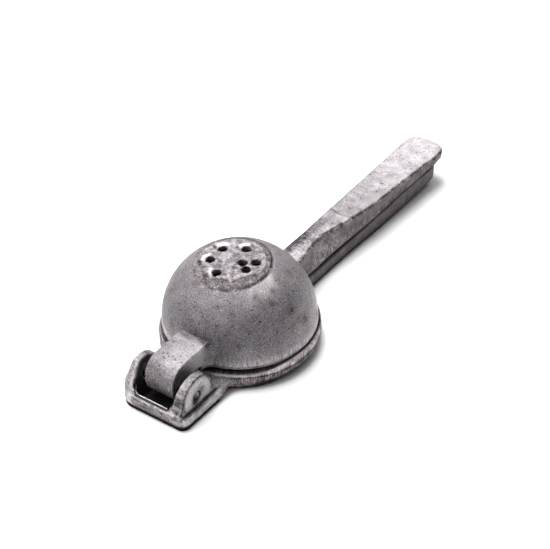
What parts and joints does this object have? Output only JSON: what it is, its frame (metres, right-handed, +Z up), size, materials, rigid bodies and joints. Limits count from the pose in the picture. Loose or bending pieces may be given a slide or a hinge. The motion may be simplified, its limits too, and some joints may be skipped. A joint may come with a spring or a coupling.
{
  "type": "citrus squeezer",
  "caption": "Hand-held citrus squeezer of rough cast aluminium: a drilled bowl lever closes over a domed presser lever on a steel hinge pin.",
  "frame": {"origin": "middle of the footprint, on the surface that the closed squeezer lies on", "axes": "+X from the hinge yoke to the handle ends, +Y to the left side, +Z up through the bowl, which lies with its mouth down"},
  "size_m": [0.2038, 0.0667, 0.0414],
  "materials": {
    "upper_casting": "raw sand casting, filed and worn, with fine pits",
    "lower_casting": "raw sand casting, dull and darker on its sides, bright where filed",
    "pin_steel": "plain drawn steel, dulled"
  },
  "bodies": {
    "presser": {"presser_lever": "lower_casting", "hinge_pin": "pin_steel"},
    "strainer": {"strainer_lever": "upper_casting"}
  },
  "joints": [
    {"name": "lever_hinge", "type": "hinge", "parent": "presser", "child": "strainer", "pos_m": [-0.08998, 0, 0.01], "axis": [0, -1, 0], "range_deg": [0, 100]}
  ]
}
